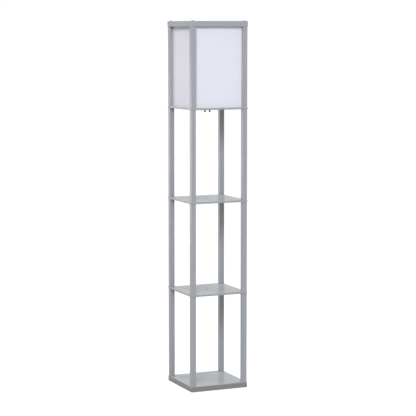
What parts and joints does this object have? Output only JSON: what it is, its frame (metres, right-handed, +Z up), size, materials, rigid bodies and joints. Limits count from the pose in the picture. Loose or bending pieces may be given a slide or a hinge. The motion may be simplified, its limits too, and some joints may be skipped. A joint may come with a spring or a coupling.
{
  "type": "shelf floor lamp",
  "caption": "Square tower floor lamp with open display shelves between corner posts and a box shade on top, switched by short pulls under the shade.",
  "frame": {"origin": "on the ground under the centre of the base", "axes": "+Z up along the posts, the front faces -Y, +X to the right seen from the front"},
  "size_m": [0.265, 0.265, 1.6026],
  "materials": {
    "painted_board": "satin cool-grey paint on board",
    "painted_post": "satin cool-grey paint on square posts",
    "painted_rail": "satin cool-grey paint on lapped rails",
    "plated_insert": "zinc-plated threaded inserts",
    "felt_pad": "pressed felt-like pads",
    "plated_steel": "zinc-plated steel",
    "dark_screw": "dark oxide steel screw heads",
    "white_shade": "stiff white sheet with a linen-like face",
    "black_moulding": "matt black moulding",
    "holder_moulding": "matt black moulding",
    "shell_metal": "drawn and threaded metal",
    "contact_brass": "bright contact metal",
    "spring_steel": "spring wire",
    "lead_jacket": "matt black lead jacket",
    "bulb_shell": "white gloss bulb body",
    "bulb_opal": "opal bulb globe"
  },
  "bodies": {
    "tower": {"base_board": "painted_board", "base_bolts": "plated_steel", "cable_gland": "black_moulding", "centre_contact_left": "contact_brass", "centre_contact_right": "contact_brass", "foot_pads": "felt_pad", "gland_nut": "black_moulding", "holder_lead_left": "lead_jacket", "holder_lead_right": "lead_jacket", "holder_screws": "plated_steel", "lamp_holder_left": "holder_moulding", "lamp_holder_right": "holder_moulding", "lower_post_back_left": "painted_post", "lower_post_back_right": "painted_post", "lower_post_front_left": "painted_post", "lower_post_front_right": "painted_post", "lower_post_inserts": "plated_insert", "lower_shelf": "painted_board", "lower_shelf_studs": "plated_steel", "middle_post_back_left": "painted_post", "middle_post_back_right": "painted_post", "middle_post_front_left": "painted_post", "middle_post_front_right": "painted_post", "middle_post_inserts": "plated_insert", "pull_spring_left": "spring_steel", "pull_spring_right": "spring_steel", "screw_shell_left": "shell_metal", "screw_shell_right": "shell_metal", "shade_floor": "painted_board", "shade_floor_studs": "plated_steel", "shade_post_back_left": "painted_post", "shade_post_back_right": "painted_post", "shade_post_front_left": "painted_post", "shade_post_front_right": "painted_post", "shade_post_inserts": "plated_insert", "shade_sleeve": "white_shade", "supply_lead": "lead_jacket", "switch_cover": "black_moulding", "switch_housing": "black_moulding", "switch_screws": "plated_steel", "top_rail_back": "painted_rail", "top_rail_front": "painted_rail", "top_rail_left": "painted_rail", "top_rail_right": "painted_rail", "top_screws": "dark_screw", "upper_post_back_left": "painted_post", "upper_post_back_right": "painted_post", "upper_post_front_left": "painted_post", "upper_post_front_right": "painted_post", "upper_post_inserts": "plated_insert", "upper_shelf": "painted_board", "upper_shelf_studs": "plated_steel"},
    "pull_left": {"pull_left": "black_moulding"},
    "pull_right": {"pull_right": "black_moulding"},
    "bulb_left": {"bulb_cap_left": "shell_metal", "bulb_body_left": "bulb_shell", "bulb_globe_left": "bulb_opal"},
    "bulb_right": {"bulb_cap_right": "shell_metal", "bulb_body_right": "bulb_shell", "bulb_globe_right": "bulb_opal"}
  },
  "joints": [
    {"name": "pull_left_slide", "type": "slide", "parent": "tower", "child": "pull_left", "axis": [-0.225, 0, -0.9744], "range_m": [0, 0.006], "stiffness_N_per_m": 400, "springref_m": -0.004, "deforming": ["pull_spring_left"]},
    {"name": "pull_right_slide", "type": "slide", "parent": "tower", "child": "pull_right", "axis": [0.225, 0, -0.9744], "range_m": [0, 0.006], "stiffness_N_per_m": 400, "springref_m": -0.004, "deforming": ["pull_spring_right"]},
    {"name": "bulb_left_turn", "type": "hinge", "parent": "tower", "child": "bulb_left", "pos_m": [-0.055, 0, 1.2518], "axis": [0, 0, 1], "range_deg": [0, 900]},
    {"name": "bulb_right_turn", "type": "hinge", "parent": "tower", "child": "bulb_right", "pos_m": [0.055, 0, 1.2518], "axis": [0, 0, 1], "range_deg": [0, 900]}
  ]
}
